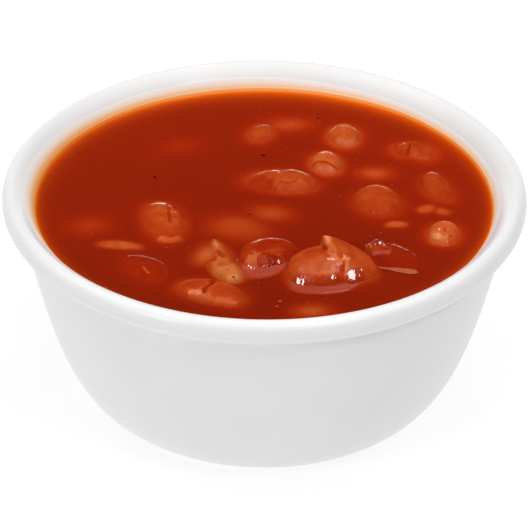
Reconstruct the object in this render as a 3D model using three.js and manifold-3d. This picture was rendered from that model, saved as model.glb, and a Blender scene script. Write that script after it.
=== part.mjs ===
// A small white serving bowl filled with beans in chili sauce.
// Millimetres, +Z up. The origin is the middle of the spot the bowl stands on,
// -Y is the front and +X is the right.
import * as THREE from "three";
import { mergeVertices } from "three/addons/utils/BufferGeometryUtils.js";
import Module from "manifold-3d";

const wasm = await Module();
wasm.setup();

// ---------- driving dimensions ----------

// The bowl: a thin wall with a rolled lip, on a low foot ring.
const lipRadius = 55; // outermost reach of the lip
const lipTop = 49.4;
const lipBulge = 2.2; // how far the lip bulges out past its crest
const lipHalfHeight = 2.6;
const wallTopRadius = 51.3; // outer wall where it meets the underside of the lip
const wallTop = 43.4;
const footRadius = 30.75;
const footWidth = 2.6;
const footRecess = 1.2;
const floorTop = 3.6; // inner floor above the table
const floorRadius = 24; // where the inner floor starts to curve up

// The sauce: liquid up to this level, touching the wall at this radius.
const sauceLevel = 44.4;
const sauceRadius = 48.3;
const meniscusRise = 0.5; // how far the sauce climbs at the wall
const meniscusReach = 1.4;

const splitWidth = 0.1; // of a bean's half length, over which a split steps up

const gap = 0.3; // left between pieces that touch

const pocketGap = 0.5; // the same round a bean, whose pocket has fewer facets
const pocketShare = 0.7; // of the bean's own facets

const turns = 60; // facets round the bowl and the sauce
const wallSteps = 5; // facets up the inside of the wall

// ---------- the beans ----------
// place:   middle of the bean, x and y
// sit:     height of its middle above the sauce level, negative when mostly sunk
// size:    length, width and thickness
// heading: direction of its length, in degrees turned from +X towards +Y
// lean:    rise of its length towards the heading, and of its width, in degrees
// bend:    how far the two ends curl to the side, the kidney form
// taper:   from -1 to 1, which end is the slimmer one
// sag:     how far the middle of its length hangs below the two ends
// split:   a skin that has opened across the bean: where along it, how much
//          higher the far side stands there, how far the line runs askew, and
//          over what share of the half length the raised side settles again
const beans = [
  {
    name: "bean_front_right",
    place: [13.7, -27.4],
    sit: 0.2,
    size: [18.8, 13.4, 8.6],
    heading: 2,
    lean: [0, 3],
    bend: 1.3,
    taper: 0.05,
    split: { at: -0.04, step: 2.2, askew: -0.3, fade: 1.0 },
    facets: [22, 14],
  },
  {
    name: "bean_wrinkled",
    place: [1.0, -22.1],
    sit: 0.3,
    size: [13.4, 9.0, 6.6],
    heading: 24,
    lean: [2, 6],
    bend: 0.9,
    taper: -0.08,
    facets: [18, 12],
  },
  {
    name: "bean_split_tan",
    place: [-8.5, -23.2],
    sit: -0.9,
    size: [17.6, 6.2, 4.8],
    heading: 107,
    lean: [-3, 0],
    bend: 0.6,
    taper: -0.2,
    sag: 2.2,
    facets: [16, 12],
  },
  {
    name: "bean_front_left",
    place: [-10.6, -35.4],
    sit: -1.8,
    size: [17.2, 9.4, 7.4],
    heading: -24,
    lean: [0, 2],
    bend: 0.8,
    taper: 0,
    split: { at: 0.05, step: 0.25, askew: 0.3, fade: 1.5 },
    facets: [20, 12],
  },
  {
    name: "bean_left",
    place: [-20.8, -9.4],
    sit: -2.3,
    size: [19.4, 11.6, 7.8],
    heading: 99,
    lean: [7, 0],
    bend: -0.8,
    taper: 0,
    facets: [20, 12],
  },
  {
    name: "bean_behind_tan",
    place: [-5.4, -10.2],
    sit: -2.7,
    size: [13.6, 10.4, 6.8],
    heading: -14,
    lean: [0, 0],
    bend: 0.6,
    taper: 0,
    facets: [14, 8],
  },
  {
    name: "bean_middle",
    place: [3.0, 8.2],
    sit: -1.9,
    size: [18.0, 10.8, 7.2],
    heading: -8,
    lean: [3, 6],
    bend: 0.8,
    taper: 0.05,
    split: { at: -0.05, step: 0.6, askew: 0.4, fade: 1.2 },
    facets: [20, 12],
  },
  {
    name: "bean_ring",
    place: [13.3, 15.9],
    sit: -1.2,
    size: [10.2, 7.6, 6.2],
    heading: 96,
    lean: [6, 0],
    bend: 0.3,
    taper: 0,
    facets: [16, 10],
  },
  {
    name: "bean_back",
    place: [17.2, 27.4],
    sit: -1.6,
    size: [11.0, 8.2, 6.8],
    heading: 92,
    lean: [8, 0],
    bend: 0.2,
    taper: 0,
    facets: [16, 10],
  },
  {
    name: "bean_back_left",
    place: [-1.0, 28.6],
    sit: -1.5,
    size: [9.6, 6.8, 5.2],
    heading: 70,
    lean: [6, 0],
    bend: 0.2,
    taper: 0,
    facets: [14, 8],
  },
  {
    name: "bean_cleft",
    place: [32.0, 21.4],
    sit: -1.6,
    size: [11.8, 9.0, 6.2],
    heading: -20,
    lean: [0, 6],
    bend: 0.4,
    taper: 0.1,
    split: { at: -0.1, step: -0.9, askew: 0.2, fade: 1.5 },
    facets: [16, 10],
  },
  {
    name: "bean_round_right",
    place: [24.2, -0.7],
    sit: -1.9,
    size: [14.2, 11.8, 8.0],
    heading: 104,
    lean: [12, 0],
    bend: 0.4,
    taper: 0,
    facets: [18, 12],
  },
  {
    name: "bean_far_right",
    place: [37.1, 5.4],
    sit: -1.5,
    size: [14.0, 7.2, 6.4],
    heading: 110,
    lean: [11, 0],
    bend: 0.6,
    taper: 0,
    facets: [16, 10],
  },
  {
    name: "bean_bit_a",
    place: [34.0, -1.9],
    sit: -0.8,
    size: [4.2, 2.8, 2.2],
    heading: 30,
    lean: [0, 0],
    bend: 0,
    taper: 0,
    facets: [10, 6],
  },
  {
    name: "bean_bit_b",
    place: [37.3, -2.9],
    sit: -0.8,
    size: [3.2, 2.4, 2.0],
    heading: -30,
    lean: [0, 0],
    bend: 0,
    taper: 0,
    facets: [10, 6],
  },
  {
    name: "bean_right_end",
    place: [37.3, -12.2],
    sit: -0.6,
    size: [8.4, 6.8, 5.6],
    heading: 84,
    lean: [4, 0],
    bend: 0.2,
    taper: 0,
    facets: [14, 10],
  },
  {
    name: "bean_dark_right",
    place: [27.6, -21.4],
    sit: -1.8,
    size: [17.0, 9.2, 6.6],
    heading: -36,
    lean: [-6, 0],
    bend: 0.7,
    taper: -0.05,
    facets: [16, 12],
  },
  {
    name: "bean_sliver_right",
    place: [27.5, -8.2],
    sit: -0.45,
    size: [4.4, 2.2, 1.5],
    heading: 4,
    lean: [0, 0],
    bend: 0.2,
    taper: 0,
    facets: [10, 6],
  },
  {
    name: "bean_glassy_left",
    place: [-24.3, -26.5],
    sit: -1.3,
    size: [16.4, 11.2, 4.4],
    heading: -50,
    lean: [0, 0],
    bend: 0.8,
    taper: 0,
    facets: [16, 12],
  },
  {
    name: "bean_sliver_left",
    place: [-29.6, -17.4],
    sit: -0.55,
    size: [9.6, 3.2, 1.9],
    heading: -8,
    lean: [0, 0],
    bend: 0.3,
    taper: 0,
    facets: [12, 6],
  },
];

// ---------- materials ----------

const glaze = new THREE.MeshStandardMaterial({
  color: "#edf0ee",
  roughness: 0.18,
  metalness: 0,
});
const sauceMaterial = new THREE.MeshStandardMaterial({
  color: "#962209",
  roughness: 0.22,
  metalness: 0,
});
const skinMaterial = new THREE.MeshStandardMaterial({
  color: "#c0502a",
  roughness: 0.3,
  metalness: 0,
});
const fleshMaterial = new THREE.MeshStandardMaterial({
  color: "#d28445",
  roughness: 0.45,
  metalness: 0,
});
const fleshPieces = ["bean_split_tan", "bean_sliver_left", "bean_sliver_right"];

// ---------- helpers ----------

const degrees = THREE.MathUtils.degToRad;

// Points along a quarter or any stretch of an ellipse in the profile plane.
function ellipseStretch(centre, reach, fromDegrees, toDegrees, steps) {
  return Array.from({ length: steps + 1 }, (_, i) => {
    const angle = degrees(fromDegrees + ((toDegrees - fromDegrees) * i) / steps);
    return new THREE.Vector2(
      centre[0] + reach[0] * Math.cos(angle),
      centre[1] + reach[1] * Math.sin(angle),
    );
  });
}

function bezier(points, steps) {
  const corners = points.map(([radius, height]) => new THREE.Vector2(radius, height));
  return new THREE.CubicBezierCurve(...corners).getPoints(steps);
}

// A profile of radius and height, turned about the upright axis.
function turned(profile) {
  return new THREE.LatheGeometry(profile, turns).rotateX(Math.PI / 2);
}

function solidOf(geometry) {
  const bare = geometry.clone();
  bare.deleteAttribute("normal");
  bare.deleteAttribute("uv");
  const merged = mergeVertices(bare, 1e-3);
  return new wasm.Manifold(
    new wasm.Mesh({
      numProp: 3,
      vertProperties: merged.attributes.position.array,
      triVerts: new Uint32Array(merged.index.array),
    }),
  );
}

function geometryOf(solid) {
  const { vertProperties, triVerts } = solid.getMesh();
  return new THREE.BufferGeometry()
    .setAttribute("position", new THREE.BufferAttribute(vertProperties, 3))
    .setIndex(new THREE.BufferAttribute(triVerts, 1));
}

function meshOf(name, geometry, material) {
  const mesh = new THREE.Mesh(geometry, material);
  mesh.name = name;
  return mesh;
}

// ---------- bowl ----------

// The inside of the wall, from the floor's edge up to where the sauce ends.
const innerWall = [
  [floorRadius, floorTop],
  [39, floorTop],
  [46, 20.5],
  [sauceRadius, sauceLevel],
];

function bowlGeometry() {
  const crest = lipRadius - lipBulge;
  const profile = [
    new THREE.Vector2(0, footRecess),
    new THREE.Vector2(footRadius - footWidth - footRecess, footRecess),
    new THREE.Vector2(footRadius - footWidth, 0),
    ...bezier(
      [
        [footRadius, 0],
        [42.4, 0.65],
        [46.4, 19.7],
        [wallTopRadius, wallTop],
      ],
      8,
    ),
    // round the lip from its underside over the crest
    ...ellipseStretch([crest, lipTop - lipHalfHeight], [lipBulge, lipHalfHeight], -80, 90, 7),
    // the soft shoulder down to the sauce
    ...ellipseStretch(
      [crest, sauceLevel],
      [crest - sauceRadius, lipTop - sauceLevel],
      108,
      180,
      4,
    ),
    ...bezier(innerWall, wallSteps).reverse().slice(1),
    new THREE.Vector2(0, floorTop),
  ];
  return turned(profile);
}

// ---------- beans ----------

// A bean is an ellipsoid whose length is bent sideways and sheared by its lean.
// From a unit direction: along its length, across it, and up.
function beanPoint(bean, grow, along, across, up) {
  const [length, width, thickness] = bean.size.map((side) => side / 2 + grow);
  const girth = Math.pow(Math.max(1 - along * along, 1e-6), -0.07);
  const slim = 1 + bean.taper * along;
  const p = length * along;
  const q = width * across * girth * slim - bean.bend * (along * along - 0.4);
  let height = thickness * up * girth * slim;
  height += p * Math.tan(degrees(bean.lean[0])) + q * Math.tan(degrees(bean.lean[1]));
  if (bean.sag) height += bean.sag * (along * along - 0.5);
  if (bean.split && up > 0) {
    const line = along - bean.split.at - bean.split.askew * across;
    const raised = (1 + Math.tanh(line / splitWidth)) / 2;
    const settled = Math.exp(-((line / bean.split.fade) ** 2));
    height += bean.split.step * up * raised * settled;
  }
  const turn = degrees(bean.heading);
  return [
    bean.place[0] + p * Math.cos(turn) - q * Math.sin(turn),
    bean.place[1] + p * Math.sin(turn) + q * Math.cos(turn),
    sauceLevel + bean.sit + height,
  ];
}

function beanGeometry(bean, grow = 0, facets = bean.facets) {
  const geometry = new THREE.SphereGeometry(1, ...facets);
  const position = geometry.attributes.position;
  for (let i = 0; i < position.count; i++) {
    const [x, y, z] = [position.getX(i), position.getY(i), position.getZ(i)];
    position.setXYZ(i, ...beanPoint(bean, grow, y, z, x));
  }
  return geometry;
}

// ---------- sauce ----------

function sauceGeometry() {
  const wall = bezier(innerWall, wallSteps).map(
    (point) => new THREE.Vector2(point.x - gap, point.y),
  );
  wall[0].y += gap;
  const edge = sauceRadius - gap;
  const pool = turned([
    new THREE.Vector2(0, floorTop + gap),
    ...wall.slice(0, -1),
    new THREE.Vector2(edge, sauceLevel + meniscusRise),
    new THREE.Vector2(edge - meniscusReach * 0.35, sauceLevel + meniscusRise * 0.35),
    new THREE.Vector2(edge - meniscusReach, sauceLevel),
    new THREE.Vector2(0, sauceLevel),
  ]);
  return geometryOf(
    beans.reduce((solid, bean) => {
      const facets = bean.facets.map((count) => Math.round(count * pocketShare));
      return solid.subtract(solidOf(beanGeometry(bean, pocketGap, facets)));
    }, solidOf(pool)),
  );
}

// ---------- the whole ----------

const servedBowl = new THREE.Group();
servedBowl.add(meshOf("bowl", bowlGeometry(), glaze));
servedBowl.add(meshOf("chili_sauce", sauceGeometry(), sauceMaterial));
for (const bean of beans) {
  const material = fleshPieces.includes(bean.name) ? fleshMaterial : skinMaterial;
  servedBowl.add(meshOf(bean.name, beanGeometry(bean), material));
}

export default servedBowl;
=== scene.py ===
import math
import bpy
import numpy as np
from mathutils import Matrix, Vector


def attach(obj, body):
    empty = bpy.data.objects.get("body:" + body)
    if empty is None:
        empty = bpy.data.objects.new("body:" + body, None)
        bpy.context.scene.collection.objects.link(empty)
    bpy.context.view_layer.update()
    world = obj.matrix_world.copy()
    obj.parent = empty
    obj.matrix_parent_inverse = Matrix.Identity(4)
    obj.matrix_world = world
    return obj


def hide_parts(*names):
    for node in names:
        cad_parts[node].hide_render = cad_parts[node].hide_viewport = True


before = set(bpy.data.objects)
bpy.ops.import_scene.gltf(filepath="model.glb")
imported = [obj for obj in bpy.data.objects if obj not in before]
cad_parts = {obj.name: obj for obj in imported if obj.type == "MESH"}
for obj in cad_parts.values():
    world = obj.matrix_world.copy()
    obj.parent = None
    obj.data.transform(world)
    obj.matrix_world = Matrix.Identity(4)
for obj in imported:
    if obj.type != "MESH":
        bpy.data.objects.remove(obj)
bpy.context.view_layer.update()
mm = 0.001
print("frame loaded:", len(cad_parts), "nodes")

camera = {
    "aimHeight": 28.96,  # mm above the table, the point the camera looks at
    "aimSide": 0.243,  # mm to the right of the bowl's middle
    "distance": 700.0,
    "elevation": 32.25,  # degrees above the horizon
    "roll": 0.5,
    "lens": 223.3,  # on a 36 mm sensor
    "sensor": 36.0,
    "picture": 530,  # width and height in pixels
    "clip": (0.01, 20),
}


def cameraAxes(c):
    # unit directions to the picture's right, its top and ahead, and the camera's place in mm
    tilt, roll = math.radians(c["elevation"]), math.radians(c["roll"])
    ahead = np.array([0, math.cos(tilt), -math.sin(tilt)])
    right = np.array([1.0, 0, 0])
    upward = np.cross(right, ahead)
    side = right * math.cos(roll) + upward * math.sin(roll)
    top = upward * math.cos(roll) - right * math.sin(roll)
    place = np.array([c["aimSide"], 0, c["aimHeight"]]) - ahead * c["distance"]
    return side, top, ahead, place


def fromPicture(px, py, height):
    # where the line of sight through a point of the picture meets a height, as x and y in mm
    side, top, ahead, place = cameraAxes(camera)
    middle = camera["picture"] / 2
    reach = camera["lens"] / camera["sensor"] * camera["picture"]
    way = [ahead[i] * reach + side[i] * (px - middle) - top[i] * (py - middle) for i in range(3)]
    far = (height - place[2]) / way[2]
    return place[0] + way[0] * far, place[1] + way[1] * far


def makeCamera(c):
    # a camera at that place whose own axes are the picture's right, its top and backwards
    side, top, ahead, place = (Vector(v) for v in cameraAxes(c))
    data = bpy.data.cameras.new("camera")
    data.lens, data.sensor_width, data.sensor_fit = c["lens"], c["sensor"], "HORIZONTAL"
    data.clip_start, data.clip_end = c["clip"]
    made = bpy.data.objects.new("camera", data)
    turn = Matrix((side, top, -ahead)).transposed().to_4x4()
    made.matrix_world = Matrix.Translation(place * mm) @ turn
    bpy.context.scene.collection.objects.link(made)
    bpy.context.scene.camera = made


makeCamera(camera)


def facesOutwards(points, quads):
    # whether the volume that the quads enclose, from their corners' triple products, comes out positive
    a, b, c, d = (points[quads[:, i]] for i in range(4))
    return (a * np.cross(b, c)).sum() + (a * np.cross(c, d)).sum() > 0


def meshObject(name, points, faces, attributes=None):
    # points in mm, faces an array of triangles and one of quads
    mesh = bpy.data.meshes.new(name)
    corners = np.concatenate([f.ravel() for f in faces]).astype(np.int32)
    sizes = np.concatenate([np.full(len(f), f.shape[1]) for f in faces]).astype(np.int32)
    mesh.vertices.add(len(points))
    mesh.vertices.foreach_set("co", (points * mm).astype(np.float32).ravel())
    mesh.loops.add(len(corners))
    mesh.loops.foreach_set("vertex_index", corners)
    mesh.polygons.add(len(sizes))
    mesh.polygons.foreach_set("loop_start", (np.cumsum(sizes) - sizes).astype(np.int32))
    mesh.update(calc_edges=True)
    mesh.validate()
    mesh.shade_smooth()
    for key, values in (attributes or {}).items():
        layer = mesh.attributes.new(key, "FLOAT", "POINT")
        layer.data.foreach_set("value", values.astype(np.float32).ravel())
    made = bpy.data.objects.new(name, mesh)
    bpy.context.scene.collection.objects.link(made)
    return made


def closedForm(name, rings, attributes=None):
    # a surface on a grid of rings, each closed on itself, the first and last one shrunk to a point
    count, around = rings.shape[:2]
    inner = count - 2
    points = np.concatenate([rings[:1, 0], rings[1:-1].reshape(-1, 3), rings[-1:, 0]])
    row = np.arange(around)
    following = (row + 1) % around
    first = 1 + np.arange(inner - 1)[:, None] * around
    quads = np.stack([first + row, first + following, first + around + following, first + around + row], -1)
    last = 1 + (inner - 1) * around
    startFan = np.stack([np.zeros(around, int), 1 + following, 1 + row], -1)
    endFan = np.stack([np.full(around, len(points) - 1), last + row, last + following], -1)
    quads = quads.reshape(-1, 4)
    triangles = np.concatenate([startFan, endFan])
    if not facesOutwards(points, quads):
        quads, triangles = quads[:, ::-1], triangles[:, ::-1]
    values = (attributes or {}).items()
    flat = {key: np.concatenate([v[:1, 0], v[1:-1].ravel(), v[-1:, 0]]) for key, v in values}
    return meshObject(name, points, [triangles, quads], flat)


noiseSide = 64
noiseTable = np.random.default_rng(7).random((noiseSide,) * 3)


def lumps(x, y, z, size, seed=0):
    # random values on a cubic lattice of the given size, eased between its corners: from -1 to 1
    apart, aside = 11.3, 20.5  # steps between the patterns of two seeds, and between the axes
    at = [np.asarray(v, float) / size + seed * apart + aside * i for i, v in enumerate((x, y, z))]
    low = [np.floor(v).astype(int) for v in at]
    part = [v - k for v, k in zip(at, low)]
    ease = [t * t * t * (t * (6 * t - 15) + 10) for t in part]
    total = 0
    for corner in range(8):
        step = [(corner >> i) & 1 for i in range(3)]
        index = tuple((k + s) % noiseSide for k, s in zip(low, step))
        weight = 1
        for e, s in zip(ease, step):
            weight = weight * (e if s else 1 - e)
        total = total + weight * noiseTable[index]
    return 2 * total - 1


def unevenAt(x, y, parts, seed):
    # lumps of each strength and size, added up
    return sum(strength * lumps(x, y, 0, size, seed + i) for i, (strength, size) in enumerate(parts))


def smooth(value, low, high):
    # 0 up to low, 1 from high on, and 3 t t - 2 t t t in between
    t = np.clip((value - low) / (high - low), 0, 1)
    return t * t * (3 - 2 * t)


class Wire:
    # a socket that can be added, multiplied and so on, each time by one Math node
    def __init__(self, shader, socket):
        self.shader, self.socket = shader, socket

    def maths(self, operation, *others):
        return self.shader.node("ShaderNodeMath", {"operation": operation}, self, *others)

    def __add__(self, other):
        return self.maths("ADD", other)

    def __mul__(self, other):
        return self.maths("MULTIPLY", other)

    def __sub__(self, other):
        return self.maths("SUBTRACT", other)

    def __rsub__(self, other):
        return self.shader.node("ShaderNodeMath", {"operation": "SUBTRACT"}, other, self)

    __radd__, __rmul__ = __add__, __mul__

    def fade(self, low, high):
        # 0 up to low, 1 from high on
        settings = {"interpolation_type": "SMOOTHSTEP"}
        return self.shader.node("ShaderNodeMapRange", settings, Value=self, From_Min=low, From_Max=high)


class Shader:
    # a material with its Principled shader, to which nodes and values are added
    def __init__(self, name):
        self.material = bpy.data.materials.new(name)
        self.material.use_nodes = True
        self.tree = self.material.node_tree
        self.surface = self.tree.nodes["Principled BSDF"]

    def node(self, kind, settings, *inputs, output=0, **named):
        # settings are set first, then the inputs by number or by name
        made = self.tree.nodes.new(kind)
        for key, value in settings.items():
            setattr(made, key, value)
        for i, value in enumerate(inputs):
            self.feed(made.inputs[i], value)
        for key, value in named.items():
            self.feed(made.inputs[key.replace("_", " ")], value)
        return Wire(self, made.outputs[output])

    def feed(self, socket, value):
        if isinstance(value, Wire):
            self.tree.links.new(value.socket, socket)
        elif value is not None:
            isColor = socket.type == "RGBA" and len(value) == 3
            socket.default_value = (*value, 1) if isColor else value

    def set(self, **named):
        for key, value in named.items():
            self.feed(self.surface.inputs[key.replace("_", " ")], value)
        return self.material

    def places(self):
        return self.node("ShaderNodeTexCoord", {}, output="Object")

    def attribute(self, name):
        return self.node("ShaderNodeAttribute", {"attribute_name": name}, output="Fac")

    def noise(self, scale, detail=2, roughness=0.5):
        # scale in waves per metre
        named = {"Scale": scale, "Detail": detail, "Roughness": roughness}
        return self.node("ShaderNodeTexNoise", {}, Vector=self.places(), **named)

    def dots(self, scale, inner, outer):
        # 1 in small round dots scattered at that scale, fading out from their inner to their outer size
        distance = self.node("ShaderNodeTexVoronoi", {}, Vector=self.places(), Scale=scale)
        return 1 - distance.fade(inner, outer)

    def vector(self, operation, *inputs):
        return self.node("ShaderNodeVectorMath", {"operation": operation}, *inputs)

    def split(self, vector):
        made = self.node("ShaderNodeSeparateXYZ", {}, vector).socket.node
        return [Wire(self, made.outputs[i]) for i in range(3)]

    def triple(self, x, y, z):
        return self.node("ShaderNodeCombineXYZ", {}, x, y, z)

    def mix(self, factor, a, b):
        unused = [None] * 5  # the sockets for numbers and vectors
        return self.node("ShaderNodeMix", {"data_type": "RGBA"}, factor, *unused, a, b, output=2)

    def bump(self, height, strength, distance):
        return self.node("ShaderNodeBump", {}, Height=height, Strength=strength, Distance=distance)


def expOf(wire, rate):
    # e to the power of minus rate times the value
    return wire.shader.node("ShaderNodeMath", {"operation": "EXPONENT"}, wire * -rate)


bowl = {  # mm, pairs are radius and height
    "lipRadius": 54.98,
    "lipTop": 49.4,
    "lipBulge": 2.2,
    "lipHalfHeight": 2.6,
    "lipFrom": -80,  # degrees round the lip's section where it leaves the wall
    "wallTop": (51.3, 43.4),
    "wallBend": [(42.4, 0.65), (46.4, 19.7)],  # what the outside's curve is drawn towards
    "innerBend": [(39, 3.6), (46, 20.5)],
    "shoulder": 1.4,  # power of the inner shoulder's oval
    "footRadius": 30.75,
    "footWidth": 2.6,
    "footRecess": 1.2,
    "floor": (24.0, 3.6),
    "turns": 360,
    "steps": {"wall": 48, "lip": 28, "shoulder": 24, "inside": 20},
    "white": (0.83, 0.835, 0.83),
    "shadow": 0.985,  # share of the white in the darker clouds of the glaze
    "roughness": 0.3,
    "uneven": 0.06,  # how much the roughness varies
}
sauce = {
    "level": 44.4,
    "radius": 48.3,  # where the level meets the wall
    "grid": 256,
    "swell": ((0.03, 6.0), (0.012, 1.5)),  # height and size of the unevenness of the level
    "calmEdge": 3,  # mm from the wall in which it dies out
    "pocket": (0.04, 0.5, 1.0, 2.4),  # its depth under a bean's top, the gain and where that comes, mm up
    "thick": 9.0,  # cover where nothing shows through
    "wallGap": 0.25,  # how far its hidden underside stays off the wall
    "floorGap": 0.3,
}


def bezier(corners, steps):
    # a cubic curve from the first of four points to the last one, drawn towards the two between
    t = np.linspace(0, 1, steps + 1)[:, None]
    a, b, c, d = (np.array(p, float) for p in corners)
    return (1 - t) ** 3 * a + 3 * (1 - t) ** 2 * t * b + 3 * (1 - t) * t * t * c + t**3 * d


def ellipse(centre, reach, low, high, steps):
    # centre plus reach times cosine and sine of the angle, in degrees
    angle = np.radians(np.linspace(low, high, steps + 1))
    return np.stack([centre[0] + reach[0] * np.cos(angle), centre[1] + reach[1] * np.sin(angle)], -1)


def innerWall(steps):
    # from the floor's edge up to the sauce level, as radius and height
    return bezier([bowl["floor"], *bowl["innerBend"], (sauce["radius"], sauce["level"])], steps)


def shoulder(low, high, steps):
    # the soft bend from the sauce level (180 degrees) up to the crest of the lip (90 degrees), an oval whose
    # shares of width and height to the power of "shoulder" add up to one
    crest = bowl["lipRadius"] - bowl["lipBulge"]
    angle = np.radians(np.linspace(low, high, steps + 1))
    power = 2 / bowl["shoulder"]
    out = crest - (crest - sauce["radius"]) * np.abs(np.cos(angle)) ** power
    return np.stack([out, sauce["level"] + (bowl["lipTop"] - sauce["level"]) * np.sin(angle) ** power], -1)


def bowlProfile():
    # under the foot, up the outside, over the lip's oval, down the shoulder and the inside to the middle
    crest, steps = bowl["lipRadius"] - bowl["lipBulge"], bowl["steps"]
    foot, recess = bowl["footRadius"], bowl["footRecess"]
    under = [(0, recess), (foot - bowl["footWidth"] - recess, recess), (foot - bowl["footWidth"], 0)]
    outer = bezier([(foot, 0), *bowl["wallBend"], bowl["wallTop"]], steps["wall"])
    lipMiddle = (crest, bowl["lipTop"] - bowl["lipHalfHeight"])
    lip = ellipse(lipMiddle, (bowl["lipBulge"], bowl["lipHalfHeight"]), bowl["lipFrom"], 90, steps["lip"])
    inside = np.concatenate([shoulder(93, 180, steps["shoulder"]), innerWall(steps["inside"])[::-1][1:]])
    return np.concatenate([under, outer, lip, inside, [(0, bowl["floor"][1])]])


def turnedRings(profile, around):
    # a profile of radius and height turned about the upright axis
    angle = np.linspace(0, 2 * np.pi, around, endpoint=False)
    radius, height = profile[:, 0, None], profile[:, 1, None]
    return np.stack([radius * np.cos(angle), radius * np.sin(angle), height + 0 * angle], -1)


def glazeMaterial():
    # near white with faint clouds, and a fine unevenness that softens its reflections
    s = Shader("whiteGlaze")
    broad = s.noise(scale=60)
    fine = s.noise(scale=900, detail=3)
    color = s.mix(broad.fade(0.35, 0.65), [c * bowl["shadow"] for c in bowl["white"]], bowl["white"])
    relief = s.bump(fine, strength=0.05, distance=0.0002)
    rough = bowl["roughness"] + (broad - 0.5) * bowl["uneven"]
    return s.set(Base_Color=color, Roughness=rough, Normal=relief, IOR=1.45)


def makeBowl():
    # the profile turned about the upright axis
    made = closedForm("bowlBody", turnedRings(bowlProfile(), bowl["turns"]))
    made.data.materials.append(glazeMaterial())
    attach(made, "root")
    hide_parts("bowl")


makeBowl()
print("bowl made")


studio = {
    "floor": (0.3, 0.3, 0.3),
    "floorSize": 6000,
    "floorGlow": 0.73,  # light that the floor gives off itself, so that it shows white
    "world": 0.02,
    "lights": {  # azimuth from the front, elevation, distance, width, height, radiance
        "overhead": (-70, 84, 0.9, 1.2, 0.95, 1.65),
        "frontTop": (0, 38, 1.2, 1.3, 0.35, 0.55),
        "keyLeft": (-45, 27, 1.0, 0.17, 0.17, 20),
        "keyRight": (36, 48, 1.0, 0.17, 0.17, 20),
        "left": (-95, 50, 1.0, 0.6, 0.7, 1.3),
        "right": (95, 60, 1.0, 0.6, 0.7, 2.0),
        "hair": (165, 58, 1.0, 0.08, 0.08, 16),
        "backdrop": (180, 8, 1.4, 2.2, 0.13, 4.2),
    },
}


def towards(azimuth, elevation):
    # unit direction from the azimuth round from the front and the elevation, in degrees
    a, e = math.radians(azimuth), math.radians(elevation)
    return np.array([math.sin(a) * math.cos(e), -math.cos(a) * math.cos(e), math.sin(e)])


plainMark = {"rise": 0, "film": 0, "flesh": 0, "gloss": 0, "inner": 0.45, "ragged": 0.5}


def mark(width, points, **changes):
    # a line through points of the picture (530 x 530), its width in mm and what it changes: rise in mm,
    # film, flesh, gloss; inner is the share of its width at full strength, ragged how uneven its edge is
    return {**plainMark, **changes, "width": width, "points": points}


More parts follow.
